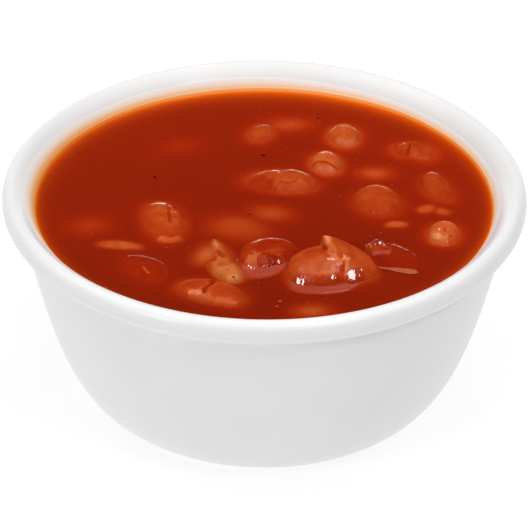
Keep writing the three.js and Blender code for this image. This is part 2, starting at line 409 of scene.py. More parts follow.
# place, sit (its middle over the level), size, heading, lean, bend, taper, sag and split in mm and degrees
# film: optical thickness of the sauce on it, veil: its gain down at the level, flesh: share of flesh colour
# shade: how fast it vanishes in the sauce with depth, soft: how gently the sauce's skin runs into it
# climb: how high the sauce creeps up its front and back, and how far out that reaches
# skirt: width of the thin wet sauce in front of it, arc: strength of the light rim along its back
# wrinkle: height of its creases, ribs: length of the fine ribs along its sides, grid: steps round and along
# facets: radius and place in the picture of small wet spots that mirror the light they are listed under
# flap: torn skin, its edge as points of the picture with their height, the rest as tables along the edge
beans = {
    "bean_front_right": dict(
        place=(13.7, -27.4), sit=0.2, size=(18.8, 13.4, 8.6), heading=8, lean=(0, 3), bend=1.3, taper=-0.1,
        film=0.97, veil=0.3, shade=1.4, soft=0.12, climb=(0.8, 0.2, 1.3), skirt=1.7, wrinkle=0.03,
        grid=(300, 200),
        flap=dict(
            edge=[
                (321, 229, 50.6), (322, 236, 50.6), (325, 241.5, 50.2), (330, 247.5, 49.6),
                (335.5, 254, 49), (341, 260, 48.3), (346, 268, 47.4), (348, 280, 46.1), (348, 292, 45),
            ],
            lift=[(0, 2.2), (0.15, 2.3), (0.4, 1.3), (0.6, 0.6), (0.8, 0.25), (1, 0)],
            reach=[(0, 8), (0.3, 9), (0.6, 9), (1, 9)],
            slope=[(0, 1.3), (0.12, 1.3), (0.3, 1.9), (0.6, 2.4), (1, 1.5)],
            overhang=0.12,
        ),
        facets=dict(
            keyLeft=[
                (0.7, 298.3, 281.8), (0.5, 303, 282), (0.25, 306, 280), (0.3, 309.5, 280.5),
                (0.3, 312.5, 282), (0.22, 297, 276.5), (0.2, 301, 277), (0.22, 305, 277),
            ],
            keyRight=[
                (1.25, 352.8, 276), (0.35, 358.6, 273.2), (0.35, 359.5, 276.8), (0.3, 361.8, 271),
                (0.3, 357.5, 279.8), (0.3, 349, 270.5), (0.4, 332.5, 277), (0.28, 335.8, 277.6),
            ],
        ),
        marks=[
            mark(0.65, [(338, 264), (341, 262), (344, 260.5)], rise=0.2, film=-0.6, gloss=0.35, ragged=1),
            mark(0.8, [(345, 260.5), (349, 261)], rise=0.25, flesh=0.1, film=-0.6, gloss=0.35, ragged=1),
            mark(0.6, [(347, 263), (346.5, 270)], rise=0.2, film=-0.6, gloss=0.35),
            mark(0.4, [(346.5, 270), (345, 278)], rise=0.15, film=-0.5, gloss=0.3),
            mark(1.2, [(340.5, 267), (340.5, 275), (341, 281)], rise=-0.1, film=0.45),
            # painted reflection: this mark and the next thin the film on the left half where the soft light
            # above mirrors, with coat on it as well
            mark(2.6, [(309, 266), (318, 264), (329, 263)], film=-0.25, gloss=0.25, inner=0.8, ragged=1),
            mark(1.6, [(329, 269), (333, 264)], film=-0.25, gloss=0.2, inner=0.8, ragged=1),
            mark(1.1, [(325, 243), (330, 250), (335, 257)],
                 flesh=0.05, film=-0.4, gloss=0.1, inner=0.7, ragged=1),
            # painted light: a thinner film lightens the flap's steep left side, which lies in shade
            mark(0.7, [(321, 237), (324, 243), (329, 248)], film=-0.6, gloss=0.1),
            mark(1, [(306, 253), (316, 250), (324, 251)], film=0.4),
            # painted shadow: a thicker film darkens a spot beside the flap's fold, besides its small dip
            mark(0.6, [(322.5, 248.5), (326, 249.5)], film=1.2, rise=-0.2, ragged=1),
            mark(1.3, [(296, 285), (316, 287), (340, 284), (362, 278)], film=0.4),
        ],
    ),
    "bean_wrinkled": dict(
        place=(1, -22.4), sit=0.3, size=(13.4, 9.8, 6.6), heading=24, lean=(2, 6), bend=0.9, taper=-0.08,
        film=1.6, veil=0.3, shade=1.4, soft=0.12, climb=(0.8, 0.3, 1.3), skirt=2.1, arc=1, wrinkle=0.1,
        grid=(240, 160),
        facets=dict(
            keyLeft=[
                (0.6, 250.5, 269), (0.35, 254, 271.5), (0.25, 249, 265.5), (0.22, 256.5, 269),
                (0.25, 255, 251), (0.28, 266.5, 268.5), (0.22, 268.5, 265.5), (0.25, 264, 265.5),
            ],
            keyRight=[
                (0.35, 273, 262), (0.25, 271, 259), (0.6, 279, 261.5), (0.35, 278, 265.5), (0.25, 267, 274),
            ],
        ),
        marks=[
            mark(2.1, [(266, 262), (271, 265), (274, 269)], rise=-0.3, film=1.1, inner=0.7),
            mark(1.8, [(250, 265), (257, 258), (262, 262)], film=-0.9, gloss=0.15, inner=0.7, ragged=1),
            mark(0.8, [(264, 254), (271, 250), (280, 249)], film=-0.2, rise=0.12, ragged=1),
            mark(0.6, [(277, 256), (282, 257), (284, 262)], rise=0.4, film=-0.7, ragged=1),
            mark(2, [(262, 246), (280, 243), (298, 250)], film=0.6, rise=-0.05),
            mark(1.3, [(287, 257), (296, 253)], film=0.9),
            mark(0.5, [(256, 273), (264, 275), (272, 273)], rise=0.2, film=0.5),
        ],
    ),
    "bean_split_tan": dict(
        place=(-8.5, -23.2), sit=-0.9, size=(17.6, 6.2, 4.8), heading=107, lean=(-3, 0), bend=0.6,
        taper=-0.2, sag=2.2, film=0.48, veil=0.3, shade=2, soft=0.05, climb=(0.1, 0.1, 0.3), wrinkle=0.08,
        ribs=0.7, flesh=0.6, grid=(200, 140),
        marks=[
            mark(0.45, [(218.5, 233.5), (220, 234)], film=3, rise=-0.1),
            mark(1.9, [(205, 238), (205, 250), (210, 258)], film=1.4, rise=-0.3),
            mark(0.8, [(218, 251), (223, 256)], film=0.9, rise=-0.2),
            mark(1.2, [(230, 267), (236, 272)], rise=0.25),
            mark(0.5, [(215, 240), (217, 246)], film=-0.2, flesh=0.3),
            mark(1.2, [(222, 264), (230, 262)], film=0.3),
            mark(0.9, [(230, 280), (236, 278)], film=-0.2, flesh=0.2),
            mark(0.25, [(233, 277), (234, 277)], film=1.5),
            mark(0.2, [(227, 270), (227.5, 270)], film=1.5),
        ],
    ),
    "bean_front_left": dict(
        place=(-10.6, -35.4), sit=-1.8, size=(17.2, 9.4, 7.4), heading=-24, lean=(0, 2), bend=0.8,
        split=(0.05, 0.25, 0.3, 1.5), film=0.92, climb=(0, 0, 0.3), grid=(240, 150),
        marks=[
            mark(0.5, [(204, 291), (206, 287), (210, 285), (214, 282)],
                 rise=-0.3, film=1.2, ragged=1.5, inner=0.7),
            mark(0.7, [(211, 282), (218, 280.5), (223, 281)], rise=-0.25, film=1.3, ragged=1.5),
            # painted reflection: this mark and the next thin the film along the lower front so it shows
            # pale, with coat on it as well
            mark(0.9, [(193, 294), (205, 298), (220, 302), (233, 304)],
                 film=-0.45, gloss=0.2, ragged=1.5, inner=0.85),
            mark(0.6, [(191, 291), (200, 292)], film=-0.45, gloss=0.2, ragged=1.5, inner=0.8),
            mark(1.6, [(190, 285), (200, 282)], film=0.3),
            mark(1.8, [(220, 289), (236, 293)], film=0.3),
        ],
    ),
    "bean_left": dict(
        place=(-20.8, -9.4), sit=-2.3, size=(19.4, 11.6, 7.8), heading=99, lean=(7, 0), bend=-0.8,
        film=0.85, veil=0.9, arc=1, grid=(240, 150),
        facets=dict(keyRight=[(0.35, 174, 212), (0.3, 177.5, 211.5)]),
        marks=[
            mark(0.45, [(168, 204), (169, 212), (170, 221)], rise=-0.2, film=0.6, ragged=1),
            mark(2.6, [(178, 205), (188, 216)], rise=-0.8, film=0.3),
            # painted highlight: a thinner film lightens the glint beside the notch, with coat on it
            mark(0.35, [(172, 213), (178, 211.5)], rise=0.2, gloss=0.8, film=-0.3),
            # painted reflection: a thinner film lightens the patch along the lower front, with coat on it
            mark(1.4, [(162, 240), (171, 241.5), (179, 239.5)],
                 film=-1.1, gloss=0.3, ragged=0.7, inner=0.3),
        ],
    ),
    "bean_behind_tan": dict(
        place=(-5.4, -10.2), sit=-2.7, size=(13.6, 10.4, 6.8), heading=-14, bend=0.6, film=0.8, shade=0.7,
        soft=0.35, climb=(0, 0, 0.4), wrinkle=0.03, grid=(120, 80),
        marks=[
            mark(0.4, [(228, 218.5), (236, 218.5)], gloss=0.9, rise=0.1),
        ],
    ),
    "bean_middle": dict(
        place=(3, 8.2), sit=-1.9, size=(18, 10.8, 7.2), heading=-8, lean=(3, 6), bend=0.8, taper=0.05,
        split=(-0.05, 0.4, 0.4, 1.2), film=0.95, soft=0.2, arc=1, grid=(240, 150),
        marks=[
            mark(0.35, [(274, 191), (276, 187), (281, 181.5), (288, 183), (295, 181)],
                 rise=-0.12, film=0.5, ragged=1),
            mark(1.8, [(283, 188), (293, 186), (302, 186)], film=-0.3, gloss=0.05, ragged=1, inner=0.7),
            mark(2.2, [(256, 180), (266, 184)], film=0.5, rise=-0.2, ragged=0),
            mark(0.4, [(263, 172), (268, 171.5)], gloss=1, rise=0.1),
        ],
    ),
    "bean_ring": dict(
        place=(13.3, 15.9), sit=-1.2, size=(10.2, 7.6, 6.2), heading=96, lean=(6, 0), bend=0.3, film=0.55,
        soft=0.2, arc=1, grid=(200, 120),
        facets=dict(keyLeft=[(0.3, 318.6, 160)]),
        marks=[
            mark(0.35, [(313, 165), (316, 162), (322, 161.5), (329, 163), (336, 168)], rise=-0.2, film=0.8),
            # painted reflection: a thinner film lightens the lobe along the lower front, with coat on it
            mark(1.2, [(318, 169), (325, 171), (332, 170)], film=-0.2, gloss=0.3, ragged=1),
        ],
    ),
    "bean_back": dict(
        place=(17.2, 27.4), sit=-1.6, size=(11, 8.2, 6.8), heading=92, lean=(8, 0), bend=0.2, film=0.6,
        soft=0.2, arc=0.3, wrinkle=0.06, grid=(200, 120),
        facets=dict(keyLeft=[(0.3, 333, 130)], keyRight=[(0.3, 344, 129)]),
        marks=[
            # painted highlight: a thinner, paler film along the bright rim at the back, with coat on it
            mark(0.6, [(331, 131), (335, 127.5), (343, 126), (352, 128), (360, 133)],
                 film=-0.3, flesh=0.1, gloss=0.9, rise=0.1, ragged=1.2),
            # painted reflection: a thinner film lightens the patch along the lower front, with coat on it
            mark(1.1, [(340, 141), (348, 143), (355, 141)], film=-0.25, gloss=0.3, ragged=0.8, inner=0.6),
        ],
    ),
    "bean_back_left": dict(
        place=(-1, 28.6), sit=-1.5, size=(9.6, 6.8, 5.2), heading=70, lean=(6, 0), bend=0.2, film=0.8,
        soft=0.15, arc=1, grid=(120, 80),
    ),
    "bean_cleft": dict(
        place=(32, 21.4), sit=-1.6, size=(11.8, 9, 6.2), heading=-20, lean=(0, 6), bend=0.4, taper=0.1,
        split=(-0.1, -0.9, 0.2, 1.5), film=0.95, soft=0.15, grid=(160, 100),
        marks=[
            mark(0.4, [(411, 143), (409, 149), (407, 155)], rise=-0.3, film=0.8, ragged=1),
            # painted highlight: a thinner film along the bright arc at the back, with coat on it
            mark(0.25, [(399, 146), (404, 143.5), (411, 141.5)], film=-0.6, gloss=1, ragged=1),
            mark(1.2, [(415, 154), (424, 157)], film=-0.3, gloss=0.1, ragged=1),
        ],
    ),
    "bean_round_right": dict(
        place=(24.2, -0.7), sit=-1.9, size=(14.2, 11.8, 8), heading=104, lean=(12, 0), bend=0.4, film=1,
        veil=0.9, arc=1, wrinkle=0.03, grid=(240, 150),
        facets=dict(keyRight=[(0.3, 374, 213)], keyLeft=[(0.25, 363, 190)]),
    ),
    "bean_far_right": dict(
        place=(37.1, 5.4), sit=-1.5, size=(14, 7.2, 6.4), heading=110, lean=(11, 0), bend=0.6, film=1.1,
        soft=0.2, arc=1, wrinkle=0.06, grid=(200, 120),
        marks=[
            mark(0.4, [(437, 184), (440, 192), (443, 200)], rise=0.15),
            mark(0.4, [(441, 184), (445, 193), (446, 200)], rise=0.15),
        ],
    ),
    "bean_bit_a": dict(
        place=(34, -1.9), sit=-0.8, size=(4.2, 2.8, 2.2), heading=30, film=0.7, veil=0.3, shade=2, soft=0.1,
        flesh=0.3, grid=(64, 40),
    ),
    "bean_bit_b": dict(
        place=(37.3, -2.9), sit=-0.8, size=(3.2, 2.4, 2), heading=-30, film=0.7, veil=0.3, shade=2,
        soft=0.1, flesh=0.2, grid=(64, 40),
    ),
    "bean_right_end": dict(
        place=(37.3, -12.2), sit=-0.6, size=(8.4, 6.8, 5.6), heading=84, lean=(4, 0), bend=0.2, film=0.5,
        veil=0.6, soft=0.2, climb=(0, 0.15, 0.3), arc=0.8, wrinkle=0.06, grid=(180, 110),
        facets=dict(keyRight=[(0.4, 439, 229)]),
        marks=[
            # lighter lower front in these two marks: barer skin, and in part a painted reflection, with coat
            # on it as well
            mark(1.4, [(434, 240), (443, 241)], flesh=0.25, film=-0.25, gloss=0.25, ragged=1.3, inner=0.8),
            mark(0.9, [(433, 233), (437, 235)], film=-0.2, gloss=0.3, ragged=1.3, inner=0.8),
            mark(0.3, [(444, 230), (445, 230.5)], film=1.2),
            mark(0.25, [(450, 236), (451, 236)], film=0.8),
        ],
    ),
    "bean_dark_right": dict(
        place=(27.6, -21.4), sit=-1.8, size=(17, 9.2, 6.6), heading=-36, lean=(-6, 0), bend=0.7,
        taper=-0.05, film=3, veil=0.5, shade=2, soft=0.15, climb=(0.2, 0.4, 0.6), arc=0.5, wrinkle=0.1,
        grid=(240, 150),
        facets=dict(
            keyLeft=[(0.7, 366, 249), (0.5, 369, 246), (0.6, 374, 244)],
            keyRight=[(0.6, 380, 243.5), (0.5, 384, 245), (0.4, 377, 241.5)],
        ),
        marks=[
            # painted highlight and reflection: a thinner film lightens the glossy left end where it glints,
            # with coat on it
            mark(0.9, [(366, 248), (373, 243), (380, 241)], rise=0.3, film=-0.4, gloss=0.3, ragged=1.2),
            mark(1.6, [(370, 250), (386, 249)], film=-1.3, gloss=0.4, inner=0.7, ragged=1),
        ],
    ),
    "bean_sliver_right": dict(
        place=(27.5, -8.2), sit=-0.45, size=(4.4, 2.2, 1.5), heading=4, bend=0.2, film=0.6, veil=0.3,
        shade=2.5, soft=0.08, wrinkle=0.03, flesh=0.3, grid=(64, 40),
    ),
    "bean_glassy_left": dict(
        place=(-24.3, -26.5), sit=-1.3, size=(16.4, 11.2, 4.4), heading=-50, bend=0.8, film=2.35, veil=0.6,
        shade=1, soft=0.15, climb=(0, 0.1, 0.4), arc=0.3, grid=(160, 100),
        marks=[
            mark(0.45, [(143.5, 267), (146, 270), (148, 272.5)], flesh=0.7, film=-1.7, ragged=1),
            # painted highlight: a thinner film along the thin bright line, with coat on it
            mark(0.3, [(126, 252), (133, 252.5), (140, 253.5)], gloss=0.6, film=-0.8, ragged=1),
        ],
    ),
    "bean_sliver_left": dict(
        place=(-29.6, -17.4), sit=-0.55, size=(9.6, 3.2, 1.9), heading=-8, bend=0.3, film=0.8, veil=0.3,
        shade=2.5, soft=0.08, flesh=0.5, grid=(96, 48),
    ),
}

# beans wholly under the sauce, which only show as a glow through it
sunkBeans = {
    "sunkMiddle": {"place": (1.4, -4.2), "sit": -4.1, "size": (11, 8, 7), "heading": -10},
    "sunkBack": {"place": (4.9, 33.1), "sit": -4.25, "size": (13, 8, 7), "heading": 5},
    "sunkBackLeft": {"place": (-18.2, 23.3), "sit": -5.2, "size": (11, 8, 7), "heading": 10},
    "sunkRight": {"place": (23.5, 12.6), "sit": -4.0, "size": (8, 6, 7), "heading": 0},
    "sunkFront": {"place": (9.6, -41.5), "sit": -3.8, "size": (8.5, 5, 7), "heading": 8},
    "sunkTan": {"place": (-11.6, -20.6), "sit": -2.2, "size": (8, 4.5, 4), "heading": 70, "flesh": 0.3},
    "sunkLeft": {"place": (-36.3, -9.7), "sit": -4.7, "size": (11, 9, 7), "heading": 20},
}

plainBean = {
    "lean": (0, 0), "bend": 0, "taper": 0, "sag": 0, "split": None, "flesh": 0, "flap": None, "marks": [],
    "facets": {}, "ribs": 0, "film": 0.3, "climb": (0, 0.1, 0.3), "soft": 0.25, "shade": 1.1, "arc": 0,
    "veil": 0.6, "skirt": 0, "wrinkle": 0.04,
}
beans = {node: {**plainBean, **bean} for node, bean in beans.items()}
sunkBeans = {name: {**plainBean, "veil": 0, **bean} for name, bean in sunkBeans.items()}

beanShape = {
    "blunt": 0.07,  # how much blunter the ends are than an ellipsoid's
    "bendRest": 0.4,  # squared share of the length where the bent middle line crosses the straight one
    "sagRest": 0.5,
    "splitStep": 0.06,  # share of the length in which a split skin steps up
    "topSide": (-0.05, 0.25),  # upward directions between which the marks fade in
    "creases": ((2.2, 0.6), (0.9, 0.4)),  # size and share of the wrinkles
    "creaseMiddle": 0.3,
    "ribHeight": 0.05,
    "crestBack": (0.06, 0.16, 0.32, 0.42),  # backward directions between which the light rim comes and goes
    "crestSide": (0.03, 0.2, 0.42),  # the sideways direction in its middle and where it fades
    "veilHeight": 0.8,  # mm over the level in which the veil falls to a third
    "lineBlend": 0.8,  # mm over which the share along a line is smoothed
    "markEdge": ((0.25, 0.5), (0.2, 0.22)),  # strength and size of the unevenness of the marks' edges
    "facetEdge": ((0.3, 0.3), (0.35, 0.13)),
    "film": (0.25, 1.6),  # and of the film's thickness
    "glint": (0.6, 1.3),  # and of the light rim
    "topGuess": 0.35,  # share of the thickness where the search for a mark's height starts
}


def girthAt(along):
    # one minus the share of the length squared, to a small negative power
    return np.maximum(1 - along * along, 1e-6) ** -beanShape["blunt"]


def splitAt(bean, along, across):
    # the sag of the middle line, and a step up where the skin has opened along a line, fading away from it
    height = bean["sag"] * (along * along - beanShape["sagRest"])
    if bean["split"]:
        at, step, askew, fade = bean["split"]
        line = along - at - askew * across
        rise = step * (1 + np.tanh(line / beanShape["splitStep"])) / 2
        height = height + rise * np.exp(-((line / fade) ** 2))
    return height


def onBean(bean, x, y):
    # a place in mm as shares of the bean's length and width, with its offsets and its half width and height
    length, width, thickness = (side / 2 for side in bean["size"])
    turn = math.radians(bean["heading"])
    dx, dy = x - bean["place"][0], y - bean["place"][1]
    p = dx * math.cos(turn) + dy * math.sin(turn)
    q = -dx * math.sin(turn) + dy * math.cos(turn)
    along = p / length
    inside = np.clip(along, -0.98, 0.98)
    girth, slim = girthAt(inside), 1 + bean["taper"] * inside
    wide, thick = width * girth * slim, thickness * girth * slim
    across = (q + bean["bend"] * (inside * inside - beanShape["bendRest"])) / wide
    return along, across, p, q, wide, thick


def leanAt(bean, p, q):
    # the height that the bean's tilt adds, the offsets times the tangents of its two angles
    slope = [math.tan(math.radians(a)) for a in bean["lean"]]
    return p * slope[0] + q * slope[1]


def plainTop(bean, x, y):
    # upper surface of the bean without its marks, and how far out a place lies: 1 at the outline
    along, across, p, q, wide, thick = onBean(bean, x, y)
    near = np.sqrt(np.maximum(1 - along**2 - across**2, 0))
    within = np.clip(along, -1, 1), np.clip(across, -1, 1)
    height = thick * near + leanAt(bean, p, q) + near**0.5 * splitAt(bean, *within)
    return sauce["level"] + bean["sit"] + height, np.hypot(along, across)


def lineDistance(x, y, line):
    # distance to a line through points, the side (positive on its right) and the smoothed share along it
    line = np.array(line, float)
    steps = np.hypot(*np.diff(line, axis=0).T)
    done = np.concatenate([[0], np.cumsum(steps)]) / steps.sum()
    best, side = np.full(np.shape(x), 1e9), np.zeros(np.shape(x))
    share, total = np.zeros(np.shape(x)), np.full(np.shape(x), 1e-9)
    for i, (a, b) in enumerate(zip(line[:-1], line[1:])):
        way = b - a
        t = np.clip(((x - a[0]) * way[0] + (y - a[1]) * way[1]) / (way @ way), 0, 1)
        dx, dy = x - a[0] - t * way[0], y - a[1] - t * way[1]
        distance = np.hypot(dx, dy)
        nearer = distance < best
        best = np.where(nearer, distance, best)
        side = np.where(nearer, np.sign(dx * -way[1] + dy * way[0]), side)
        weight = np.exp(-distance / beanShape["lineBlend"])
        share = share + weight * (done[i] + t * (done[i + 1] - done[i]))
        total = total + weight
    return best, side, share / total


def markPlaces(bean, points):
    # points of the picture on the bean's upper surface
    px, py = np.array(points, float).T
    start = sauce["level"] + bean["sit"] + bean["size"][2] * beanShape["topGuess"]
    height = np.full(len(px), start)
    for _ in range(8):  # each round halves the miss
        x, y = fromPicture(px, py, height)
        height = 0.5 * height + 0.5 * np.maximum(plainTop(bean, x, y)[0], sauce["level"])
    return np.stack([x, y], -1)


def marksAt(bean, x, y):
    # what all the bean's marks add there: each is a line with a width and a soft, ragged edge
    total = {key: np.zeros(np.shape(x)) for key in ("rise", "film", "flesh", "gloss")}
    uneven = unevenAt(x, y, beanShape["markEdge"], 60)
    for line in bean["marks"]:
        distance, _, _ = lineDistance(x, y, markPlaces(bean, line["points"]))
        share = 1 - smooth(distance / line["width"] + uneven * line["ragged"], line["inner"], 1.0)
        for key in total:
            total[key] = total[key] + share * line[key]
    return total


def veilAt(bean, z):
    # the sauce on a bean is thicker the closer to the level, falling off exponentially with height
    return bean["veil"] * np.exp(-np.maximum(z - sauce["level"], 0) / beanShape["veilHeight"])


def facetsAt(bean, x, y, height):
    # small planes that face half way between the camera and a light, instead of the surface at their places
    rise, wet, total = np.zeros(np.shape(x)), np.zeros(np.shape(x)), np.full(np.shape(x), 1e-9)
    ragged = unevenAt(x, y, beanShape["facetEdge"], 62)
    spots = [(light, *spot) for light, listed in bean["facets"].items() for spot in listed]
    for light, radius, *point in spots:
        centre = markPlaces(bean, [point])[0]
        normal = towards(*studio["lights"][light][:2]) + towards(0, camera["elevation"])
        spot = np.array(centre[0]), np.array(centre[1])
        level = plainTop(bean, *spot)[0] + flapAt(bean, *spot)
        dx, dy = x - centre[0], y - centre[1]
        plane = level - (normal[0] * dx + normal[1] * dy) / normal[2]
        share = 1 - smooth(np.hypot(dx, dy) / radius + ragged, 0.7, 1.0)
        rise, total = rise + share * (plane - height), total + share
        wet = np.maximum(wet, share)
    return rise / np.maximum(total, 1), wet


def flapAt(bean, x, y):
    # a torn skin that stands up on the right of a line, less and less along it, and lies down further on
    if not bean["flap"]:
        return 0 * x
    distance, side, share = lineDistance(x, y, [fromPicture(*corner) for corner in bean["flap"]["edge"]])
    slope, lift, reach = (np.interp(share, *zip(*bean["flap"][key])) for key in ("slope", "lift", "reach"))
    edge = smooth(distance * side / slope, -0.5, 0.5)
    return lift * edge * np.exp(-((np.maximum(distance * side, 0) / reach) ** 2))


def beanForm(bean, along, across, up):
    # an ellipsoid bent sideways along its length and sheared by its lean, from unit directions to mm
    length, width, thickness = (side / 2 for side in bean["size"])
    girth, slim = girthAt(along), 1 + bean["taper"] * along
    p = length * along
    q = width * across * girth * slim - bean["bend"] * (along * along - beanShape["bendRest"])
    turn = math.radians(bean["heading"])
    x = bean["place"][0] + p * math.cos(turn) - q * math.sin(turn)
    y = bean["place"][1] + p * math.sin(turn) + q * math.cos(turn)
    topSide = smooth(up, *beanShape["topSide"])
    marks = marksAt(bean, x, y)
    flap = flapAt(bean, x, y) * topSide
    level, wet = facetsAt(bean, x, y, plainTop(bean, x, y)[0] + flap)
    marks["gloss"] = np.maximum(marks["gloss"], wet) * topSide
    marks["rise"] = marks["rise"] * (1 - wet)
    height = thickness * up * girth * slim + leanAt(bean, p, q) + (marks["rise"] + level) * topSide + flap
    height = height + np.maximum(up, 0) ** 0.5 * splitAt(bean, along, across)
    if bean["flap"]:
        x = x - flap * bean["flap"]["overhang"]
    return np.stack([x, y, sauce["level"] + bean["sit"] + height], -1), marks


def beanTop(bean, x, y):
    # upper surface with the marks, for the sauce that lies on it
    top, out = plainTop(bean, x, y)
    fade = smooth(1 - out, 0, 0.15)
    return top + (marksAt(bean, x, y)["rise"] + flapAt(bean, x, y)) * fade, out


def beanDistance(bean, x, y, z):
    # about how far places lie from the bean's surface, negative inside: on the flat, and in space
    length = bean["size"][0] / 2
    along, across, p, q, wide, thick = onBean(bean, x, y)
    near = np.sqrt(np.maximum(1 - along**2 - across**2, 0))
    lift = leanAt(bean, p, q) + near**0.5 * splitAt(bean, np.clip(along, -1, 1), np.clip(across, -1, 1))
    up = (z - sauce["level"] - bean["sit"] - lift) / thick
    reach = np.sqrt(along**2 + across**2 + up**2) + 1e-6
    flatReach = np.hypot(along, across) + 1e-6
    flatSlope = np.hypot(along / length, across / wide) / flatReach + 1e-6
    fullSlope = np.sqrt((along / length) ** 2 + (across / wide) ** 2 + (up / thick) ** 2) / reach + 1e-6
    return (flatReach - 1) / flatSlope, (reach - 1) / fullSlope


def beanRings(around, along):
    # unit directions on rings round the bean's length
    latitude = np.linspace(-np.pi / 2, np.pi / 2, along)[:, None]
    longitude = np.linspace(0, 2 * np.pi, around, endpoint=False)[None]
    return (
        np.sin(latitude) + 0 * longitude,
        np.cos(latitude) * np.cos(longitude),
        np.cos(latitude) * np.sin(longitude),
    )


def ringNormals(rings):
    # outward unit normals of a grid of closed rings, from the cross product of its two steps
    around = np.roll(rings, -1, 1) - np.roll(rings, 1, 1)
    normals = np.cross(around, np.gradient(rings, axis=0))
    middle = rings.mean((0, 1))
    normals *= np.sign(((rings - middle) * normals).sum())
    return normals / (np.linalg.norm(normals, axis=-1, keepdims=True) + 1e-9)


def crestAt(normals, up):
    # the part of the upper skin that faces a little backwards, where the light behind the bowl glints
    sideways, backward, _ = np.moveaxis(normals, -1, 0)
    low, full, fading, gone = beanShape["crestBack"]
    middle, near, far = beanShape["crestSide"]
    crest = smooth(backward, low, full) * (1 - smooth(backward, fading, gone)) * smooth(up, 0, 0.3)
    return crest * (1 - smooth(np.abs(sideways - middle), near, far))


def makeBean(node, bean, material, seed):
    # the bean's form moved along its normals by creases and ribs, and what covers it at every point
    along, across, up = beanRings(*bean["grid"])
    points, marks = beanForm(bean, along, across, up)
    x, y, z = (points[..., i] for i in range(3))
    (coarse, much), (fine, little) = beanShape["creases"]
    creases = np.abs(lumps(x, y, z, coarse, seed)) * much + np.abs(lumps(x, y, z, fine, seed + 1)) * little
    rise = bean["wrinkle"] * (beanShape["creaseMiddle"] - creases)
    if bean["ribs"]:
        ribs = np.sin(along * bean["size"][0] * math.pi / bean["ribs"]) * smooth(np.abs(across), 0.35, 0.8)
        rise = rise + beanShape["ribHeight"] * ribs
    normals = ringNormals(points)
    points += normals * rise[..., None]
    patchy, patch = beanShape["film"]
    broken, piece = beanShape["glint"]
    uneven = 1 + patchy * lumps(x, y, z, patch, seed + 3)
    glint = bean["arc"] * crestAt(normals, up) * (0.7 + broken * lumps(x, y, z, piece, seed))
    attributes = {
        "cover": np.maximum(bean["film"] * uneven + veilAt(bean, z) + marks["film"], 0),
        "flesh": np.clip(bean["flesh"] + marks["flesh"], 0, 1),
        "gloss": np.clip(np.maximum(marks["gloss"], glint), 0, 1),
    }
    made = closedForm(node + "_skin", points, attributes)
    made.data.materials.append(material)
    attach(made, "root")
    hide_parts(node)
    "bean_flesh" if node in fleshBeans else "bean_skin"


fleshBeans = ("bean_split_tan", "bean_sliver_left", "bean_sliver_right")

colors = {
    "deep": (0.238, 0.0132, 0.0026),  # the sauce where it is thick
    "skin": (0.70, 0.20, 0.055),  # a bean with no sauce on it
    "flesh": (0.72, 0.36, 0.13),
    "wall": (0.90, 0.86, 0.82),
    "dark": (0.06, 0.006, 0.002),  # crumbs
    "pale": (0.50, 0.09, 0.03),
    "light": (0.52, 0.12, 0.055),
}
sauceTint = {  # how fast red, green and blue fade in the sauce
    "through": (0.83, 1.55, 2.1),
    "wall": (0.125, 1.0, 2.4),  # on the wall, the first one with the thickness squared
    "warmth": (0.25, 1.6),  # gain of red in a thin film, and how fast it goes again
}


def sauceOver(s, cover, flesh, wallVeil=None):
    # the deep colour, with what lies under it showing less the thicker the sauce is, blue and green first
    under = s.mix(flesh, colors["skin"], colors["flesh"])
    through = s.triple(*(expOf(cover, rate) for rate in sauceTint["through"]))
    lift = s.vector("MULTIPLY", s.vector("SUBTRACT", under, colors["deep"]), through)
    total = s.vector("ADD", lift, colors["deep"])
    if wallVeil:
        red, green, blue = sauceTint["wall"]
        squared = wallVeil * wallVeil
        throughWall = s.triple(expOf(squared, red), expOf(wallVeil, green), expOf(wallVeil, blue))
        difference = [w - d for w, d in zip(colors["wall"], colors["deep"])]
        gain, rate = sauceTint["warmth"]
        warmth = 1 + wallVeil * expOf(wallVeil, rate) * gain
        total = s.vector("ADD", total, s.vector("MULTIPLY", difference, throughWall))
        total = s.vector("MULTIPLY", total, s.triple(warmth, 1, 1))
    return total


skinLook = {
    "patches": 0.7,  # how much the film varies in patches, in grains and in small specks
    "grains": 0.5,
    "specks": 0.9,
    "relief": 0.3,  # share of the grains in the relief
    "roughness": 0.3,
    "uneven": 0.1,
    "coatRoughness": 0.03,
}
sauceLook = {
    "back": 4.0,  # painted light: how much lighter it gets for each metre to the back, to the right and to both sides
    "right": 0.2,
    "sides": 1.8,
    "clouds": 0.12,  # and by its texture
    "pulp": 0.3,
    "dots": 0.3,
    "pulpFilm": 0.4,  # how much the pulp varies what shows through
    "roughness": 0.3,
    "wallGloss": 0.2,  # how much smoother the film on the wall is
    "coat": 0.5,
    "coatRoughness": 0.2,
}


def beanMaterial():
    # the film of sauce is patchy and has small dark specks; highlights come from the coat, and at some
    # listed marks a thinner film also paints highlights and reflections into the colour
    s = Shader("wetBean")
    cover, flesh = s.attribute("cover"), s.attribute("flesh")
    mottle = s.noise(scale=420, detail=4, roughness=0.6)
    grains = s.noise(scale=1500, detail=3, roughness=0.6)
    varied = 1 + (mottle - 0.5) * skinLook["patches"] + (grains - 0.5) * skinLook["grains"]
    patchy = (cover * varied).maths("MAXIMUM", 0.0)
    specks = s.dots(700.0, 0.08, 0.2) * s.noise(scale=500, detail=1).fade(0.5, 0.6)
    color = sauceOver(s, patchy + specks * skinLook["specks"], flesh)
    relief = s.bump(mottle + grains * skinLook["relief"], strength=0.2, distance=0.0003)
    rough = skinLook["roughness"] + (grains - 0.5) * skinLook["uneven"]
    return s.set(
        Base_Color=color, Roughness=rough, Normal=relief, IOR=1.38, Specular_IOR_Level=0.0,
        Coat_Weight=s.attribute("gloss"), Coat_Roughness=skinLook["coatRoughness"], Coat_IOR=1.5,
    )


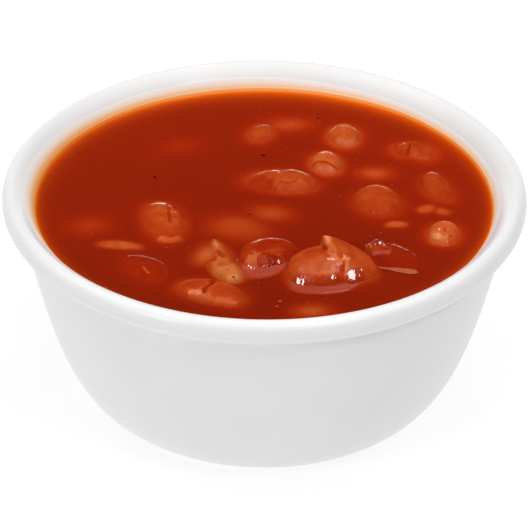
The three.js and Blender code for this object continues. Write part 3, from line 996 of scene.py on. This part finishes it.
def sauceMaterial():
    # the deep colour gets lighter towards the back and the sides, which is painted light, with clouds, fine
    # pulp and pale dots
    s = Shader("chiliSauce")
    cover, flesh, veil = s.attribute("cover"), s.attribute("flesh"), s.attribute("wallVeil")
    pulp = s.noise(scale=900, detail=4, roughness=0.7)
    cloud = s.noise(scale=90, detail=3, roughness=0.55)
    x, y, _ = s.split(s.places())
    look = sauceLook
    color = sauceOver(s, cover * (1 + (pulp - 0.5) * look["pulpFilm"]), flesh, veil)
    # painted light: lighter towards the back, the right and both sides; the clouds, pulp and dots added next
    # are its texture
    lighter = 1 + (y * look["back"] + x * look["right"] + x.maths("ABSOLUTE") * look["sides"])
    lighter = lighter + (cloud - 0.5) * look["clouds"] + (pulp - 0.5) * look["pulp"]
    dots = s.dots(330.0, 0.06, 0.13) * s.noise(scale=150, detail=1).fade(0.5, 0.6)
    lighter = lighter + dots * look["dots"]
    lighter = 1 + (lighter - 1) * (1 - expOf(veil, 0.5))  # not on the bare wall
    color = s.vector("MULTIPLY", color, s.triple(lighter, lighter, lighter))
    relief = s.bump(pulp, strength=0.08, distance=0.0002)
    rough = look["roughness"] - (1 - expOf(veil, 3)) * look["wallGloss"]
    return s.set(
        Base_Color=color, Roughness=rough, Normal=relief, IOR=1.38, Specular_IOR_Level=0.0,
        Coat_Weight=s.attribute("wet") * look["coat"], Coat_Roughness=look["coatRoughness"], Coat_IOR=1.38,
    )


wetBean = beanMaterial()
for number, (node, bean) in enumerate(beans.items()):
    makeBean(node, bean, wetBean, 3 * number)
print("beans made:", len(beans))


wallFilm = {
    "thickness": 0.05,  # of the sauce left on the wall
    "climb": 0.7,  # the level turns up the wall in a fillet of this radius
    "filletFrom": 12,  # degrees
    "filletSteps": 8,
    "rings": 14,
    "highest": 4.7,
    "bareTop": 0.35,  # the stain's colour ends this far below its edge
    "stepReach": 0.5,  # mm from the wall in which the colour has mostly deepened by its step
    "heights": [  # direction round the bowl from its right, in degrees, and how high the stain stands
        (0, 2.5), (20, 2.1), (45, 2.1), (70, 2.4), (90, 2.8), (110, 2.8), (135, 2.9), (160, 3.5), (180, 3.8),
        (215, 3.2), (270, 1.5), (315, 2.0), (360, 2.5),
    ],
    "veils": [  # the same for how thick the sauce looks at the level: optical depth in green
        (0, 1.1), (20, 1.9), (45, 1.95), (70, 1.45), (90, 1.3), (110, 1.4), (135, 2.05), (160, 2),
        (180, 1.7), (270, 1.5), (360, 1.1),
    ],
    "steps": [  # how much that gains where the wall turns into the pool
        (0, 1.7), (20, 1), (45, 0.65), (70, 0.6), (90, 0.95), (110, 1), (135, 0.6), (160, 0.8),
        (180, 1.3), (270, 1), (360, 1.7),
    ],
    "fades": [  # and how fast it thickens away from the wall, for each mm
        (0, 1), (20, 0.8), (45, 0.6), (70, 0.6), (90, 0.5), (110, 0.55), (135, 0.65), (160, 0.8),
        (180, 0.9), (270, 1), (360, 1),
    ],
}
skirt = {
    "ahead": (-0.2, -0.98),  # the way it lies from a bean
    "cover": 1.5,
    "side": 0.3,  # how far round from that way it reaches, as a cosine
    "edge": 0.2,  # mm over which it ends
    "beyond": (6, 3),  # cover gained past its edge, and behind the bean
}


def byDirection(table, angle):
    # the table's values at an angle, in straight steps between its directions
    return np.interp(np.degrees(angle) % 360, *zip(*table))


def discPlaces(count, radius):
    # a square grid drawn out to a disc: x = u root(1 - v v / 2), y = v root(1 - u u / 2)
    side = np.linspace(-1, 1, count)
    u, v = np.meshgrid(side, side)
    return radius * u * np.sqrt(1 - v * v / 2), radius * v * np.sqrt(1 - u * u / 2)


def discEdge(count):
    # the grid's outer points in order round it
    index = np.arange(count * count).reshape(count, count)
    return np.concatenate([index[0, :-1], index[:-1, -1], index[-1, :0:-1], index[:0:-1, 0]])


def nearBean(bean, x, y, margin):
    # which places are close to a bean, with their coordinates and their offsets from its middle
    awayX, awayY = x - bean["place"][0], y - bean["place"][1]
    close = np.hypot(awayX, awayY) < max(bean["size"]) / 2 + margin
    return close, x[close], y[close], awayX[close], awayY[close]


def poolHeight(x, y):
    # the level with a slight swell, plus at each bean a climb that falls off exponentially, and over its
    # flank the soft maximum of that and of its top, less how deep the sauce's skin lies inside it
    height = sauce["level"] + 0 * x
    calm = smooth(sauce["radius"] - np.hypot(x, y), 0, sauce["calmEdge"])
    height = height + unevenAt(x, y, sauce["swell"], 40) * calm
    least, more, *tops = sauce["pocket"]
    for bean in beans.values():
        close, nearX, nearY, awayX, awayY = nearBean(bean, x, y, 5)
        top, out = beanTop(bean, nearX, nearY)
        flat, _ = beanDistance(bean, nearX, nearY, sauce["level"])
        front, back, climbReach = bean["climb"]
        climb = front + (back - front) * smooth(awayY / (np.hypot(awayX, awayY) + 1), -0.4, 0.6)
        rise = climb * np.exp(-np.maximum(flat, 0) / climbReach)
        sink = least + more * smooth(top - sauce["level"], *tops)
        base, soft = height[close] + rise, bean["soft"]
        height[close] = base + soft * np.logaddexp(0, (top - sink - base) / soft) * smooth(1 - out, 0, 0.02)
    return height


def poolLook(x, y, height):
    # cover grows with the distance down to a bean, the least one counts; flesh is that bean's own, and wet
    # marks the skirts in front of beans
    cover, flesh, wet = np.full(np.shape(x), sauce["thick"]), np.zeros(np.shape(x)), np.zeros(np.shape(x))
    for bean in [*beans.values(), *sunkBeans.values()]:
        close, nearX, nearY, awayX, awayY = nearBean(bean, x, y, 6)
        _, depth = beanDistance(bean, nearX, nearY, height[close])
        marks = marksAt(bean, nearX, nearY)
        film = bean["film"] + marks["film"] + veilAt(bean, height[close])
        over = np.maximum(depth, 0) * bean["shade"] + film
        if bean["skirt"]:
            flat, _ = beanDistance(bean, nearX, nearY, sauce["level"])
            forward = (skirt["ahead"][0] * awayX + skirt["ahead"][1] * awayY) / np.hypot(awayX, awayY)
            past = flat - bean["skirt"] * smooth(forward, skirt["side"], 1.0)
            past = smooth(past, -skirt["edge"], skirt["edge"])
            outside, behind = skirt["beyond"]
            most = skirt["cover"] + outside * past + behind * smooth(-forward, -0.25, 0)
            over = np.minimum(over, most)
            wet[close] = np.maximum(wet[close], (1 - past) * smooth(forward, 0, 0.4))
        thinner = over < cover[close]
        flesh[close] = np.where(thinner, np.clip(bean["flesh"] + marks["flesh"], 0, 1), flesh[close])
        cover[close] = np.clip(over, 0, cover[close])
    return cover, flesh, wet


def slopeOf(x, y, height):
    # steepness of the sauce's skin from the change of height along both ways of the grid
    (xa, xb), (ya, yb), (za, zb) = (np.gradient(v) for v in (x, y, height))
    area = xa * yb - xb * ya
    area = np.where(np.abs(area) < 1e-6, 1e-6, area)
    return np.hypot((za * yb - zb * ya) / area, (zb * xa - za * xb) / area)


def poolVeil(angle, inward):
    # how thick the sauce looks at a distance inward from the level's edge: a start, a steady gain and a step
    # that levels off exponentially
    veil = byDirection(wallFilm["veils"], angle) + byDirection(wallFilm["fades"], angle) * inward
    return veil + byDirection(wallFilm["steps"], angle) * (1 - np.exp(-inward / wallFilm["stepReach"]))


def stainRings(around):
    # the film on the wall from the level up its soft shoulder, thinning out, then tucked into the wall
    x, y = around[:, 0], around[:, 1]
    angle = np.arctan2(y, x)
    turn = np.radians(np.linspace(wallFilm["filletFrom"], 90, wallFilm["filletSteps"]))[:, None]
    fillet = wallFilm["climb"]
    filletOut = sauce["radius"] - wallFilm["thickness"] - fillet * (1 - np.sin(turn)) + 0 * angle
    filletUp = fillet * (1 - np.cos(turn)) + 0 * angle
    share = np.linspace(0, 1, wallFilm["rings"])[1:, None]
    crest = bowl["lipRadius"] - bowl["lipBulge"]
    reach = (crest - sauce["radius"], bowl["lipTop"] - sauce["level"])
    height = np.minimum(byDirection(wallFilm["heights"], angle), wallFilm["highest"])
    up = fillet + share * (height - fillet)
    out = crest - reach[0] * (1 - (up / reach[1]) ** bowl["shoulder"]) ** (1 / bowl["shoulder"])
    out = out - wallFilm["thickness"] * np.where(share < 1, 1.3 - share, -1)
    inward = np.maximum(fillet * (1 - np.sin(turn)) - 0.5 * filletUp, 0)
    thin = np.concatenate([filletUp * 1.5, up + wallFilm["bareTop"]]) / height
    veil = byDirection(wallFilm["veils"], angle) * np.clip(1 - thin, 0, 1) ** 2
    veil[: len(turn)] += poolVeil(angle, inward) - poolVeil(angle, 0)
    out, up = np.concatenate([filletOut, out]), np.concatenate([filletUp, up])
    return np.stack([out * np.cos(angle), out * np.sin(angle), sauce["level"] + up], -1), veil


def makeSauce():
    # the pool's disc, the stain's rings round it, and rings down inside the wall to a point under the middle
    count = sauce["grid"]
    x, y = discPlaces(count, sauce["radius"] - wallFilm["thickness"] - wallFilm["climb"])
    height = poolHeight(x, y)
    cover, flesh, wet = poolLook(x, y, height)
    wet = wet * smooth(slopeOf(x, y, height), 0.05, 0.15)
    radius, angle = np.hypot(x, y), np.arctan2(y, x)
    veil = poolVeil(angle, sauce["radius"] - radius)
    pool = np.stack([x, y, height], -1).reshape(-1, 3)
    edge = discEdge(count)
    stain, stainVeil = stainRings(pool[edge])
    angle = np.arctan2(pool[edge, 1], pool[edge, 0])
    wall = innerWall(6)[::-1] - (sauce["wallGap"], 0)
    under = np.stack([wall[:, :1] * np.cos(angle), wall[:, :1] * np.sin(angle), wall[:, 1:] + 0 * angle], -1)
    rings = np.concatenate([stain, under])
    ringVeil = np.concatenate([stainVeil, np.full(under.shape[:2], sauce["thick"])])
    points = np.concatenate([pool, rings.reshape(-1, 3), [[0, 0, bowl["floor"][1] + sauce["floorGap"]]]])
    grid = np.arange(count * count).reshape(count, count)
    quads = [np.stack([grid[:-1, :-1], grid[:-1, 1:], grid[1:, 1:], grid[1:, :-1]], -1).reshape(-1, 4)]
    previous = edge
    for row in range(len(rings)):
        present = len(pool) + row * len(edge) + np.arange(len(edge))
        quads.append(np.stack([np.roll(previous, -1), previous, present, np.roll(present, -1)], -1))
        previous = present
    last = np.full(len(edge), len(points) - 1)
    triangles = np.stack([np.roll(previous, -1), previous, last], -1)
    rest = np.full(rings.shape[0] * rings.shape[1] + 1, sauce["thick"])
    attributes = {
        "cover": np.concatenate([cover.ravel(), rest]),
        "flesh": np.concatenate([flesh.ravel(), 0 * rest]),
        "wet": np.concatenate([wet.ravel(), 0 * rest]),
        "wallVeil": np.concatenate([veil.ravel(), ringVeil.ravel(), [sauce["thick"]]]),
    }
    made = meshObject("sauceBody", points, [triangles, np.concatenate(quads)], attributes)
    made.data.materials.append(sauceMaterial())
    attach(made, "root")
    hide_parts("chili_sauce")


makeSauce()
print("sauce made")


crumbs = {
    "dark": [  # place in the picture, length and width in mm, and direction in degrees
        (263, 155, 1, 0.7, 20), (155, 177, 1.7, 0.35, -60), (125, 110, 0.9, 0.5), (406, 117, 1, 0.5),
        (455, 138, 0.6, 0.4), (318, 118, 0.5, 0.4), (250, 214, 0.5, 0.4, 30), (402, 244, 0.5, 0.4),
    ],
    "pale": [
        (288, 293, 1.2, 0.7, 10), (280, 301, 0.9, 0.6), (277, 306, 0.7, 0.5), (320, 122, 0.7, 0.5),
        (104, 288, 1.6, 0.7, 10), (298, 120, 1, 0.6), (287, 128, 0.8, 0.4), (360, 282, 1.6, 0.5, 10),
    ],
    # a thin sliver beside the dark right bean
    "light": [(397, 270.3, 9.0, 0.9, -13), (403, 271.0, 6.5, 1.9, -14), (409, 271.8, 3.6, 2.3, -12)],
    "lift": {"dark": 0.03, "pale": 0.03, "light": 0.22},  # mm over the level
    "halfHeight": 0.14,
    "scattered": 90,  # many more small pale ones, within the radius
    "radius": 42.0,
    "smallest": 0.2,
    "spread": 0.25,
}


def crumbForm(kind, x, y, length, width, heading=0):
    # a small ellipsoid lying in the skin of the sauce
    along, across, up = beanRings(8, 6)
    turn = math.radians(heading)
    p, q = along * length / 2, across * width / 2
    level = sauce["level"] + crumbs["lift"][kind]
    points = [x + p * math.cos(turn) - q * math.sin(turn), y + p * math.sin(turn) + q * math.cos(turn)]
    return np.stack([*points, level + up * crumbs["halfHeight"]], -1)


def crumbMaterial(name, color):
    # the colour with darker spots, without highlights
    s = Shader(name)
    shade = s.mix(s.noise(scale=2500), [c * 0.6 for c in color], color)
    return s.set(Base_Color=shade, Roughness=0.4, Specular_IOR_Level=0.0)


def makeCrumbs():
    # all crumbs of a kind in one mesh, the listed ones and those scattered evenly over a disc
    rng = np.random.default_rng(11)
    forms = {kind: [] for kind in crumbs["lift"]}
    for kind, found in forms.items():
        for px, py, *size in crumbs[kind]:
            found.append(crumbForm(kind, *fromPicture(px, py, sauce["level"] + 0.1), *size))
    for turn, out, size in rng.random((crumbs["scattered"], 3)):
        radius, angle = crumbs["radius"] * math.sqrt(out), 2 * math.pi * turn
        length = crumbs["smallest"] + crumbs["spread"] * size
        x, y = radius * math.cos(angle), radius * math.sin(angle)
        forms["pale"].append(crumbForm("pale", x, y, length, crumbs["smallest"]))
    for kind, found in forms.items():
        points = np.array(found)
        index = np.arange(points[..., 0].size).reshape(points.shape[:3])
        following = np.roll(index, -1, 2)
        quads = np.stack([index[:, :-1], following[:, :-1], following[:, 1:], index[:, 1:]], -1)
        quads, points = quads.reshape(-1, 4), points.reshape(-1, 3)
        quads = quads if facesOutwards(points, quads) else quads[:, ::-1]
        made = meshObject(kind + "Crumbs", points, [quads])
        made.data.materials.append(crumbMaterial(kind + "Crumb", colors[kind]))
        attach(made, "root")


makeCrumbs()
print("crumbs made")


def makeFloor():
    # a pale square at the height of the table
    half = studio["floorSize"] / 2
    points = np.array([(-half, -half, 0), (half, -half, 0), (half, half, 0), (-half, half, 0)])
    floor = meshObject("floor", points, [np.array([[0, 1, 2, 3]])])
    s = Shader("paleFloor")
    color = s.mix(s.noise(scale=40), [c * 0.99 for c in studio["floor"]], studio["floor"])
    glow = {"Emission_Color": (1, 1, 1), "Emission_Strength": studio["floorGlow"]}
    floor.data.materials.append(s.set(Base_Color=color, Roughness=0.8, **glow))


def makeLights():
    # rectangles that face the sauce; a radiance of 1 is pi watts for each square metre
    centre = Vector((0, 0, sauce["level"] * mm))
    for name, (azimuth, elevation, distance, width, height, radiance) in studio["lights"].items():
        away = Vector(towards(azimuth, elevation))
        data = bpy.data.lights.new(name, "AREA")
        data.shape, data.size, data.size_y = "RECTANGLE", width, height
        data.energy = radiance * math.pi * width * height
        lamp = bpy.data.objects.new(name, data)
        lamp.location = centre + away * distance
        lamp.rotation_mode = "QUATERNION"
        lamp.rotation_quaternion = away.to_track_quat("Z", "Y")
        bpy.context.scene.collection.objects.link(lamp)
    world = bpy.data.worlds.new("studio")
    world.use_nodes = True
    world.node_tree.nodes["Background"].inputs[0].default_value = (1, 1, 1, 1)
    world.node_tree.nodes["Background"].inputs[1].default_value = studio["world"]
    bpy.context.scene.world = world
    bpy.context.scene.view_settings.view_transform = "Standard"


makeFloor()
makeLights()
print("floor and lights made")
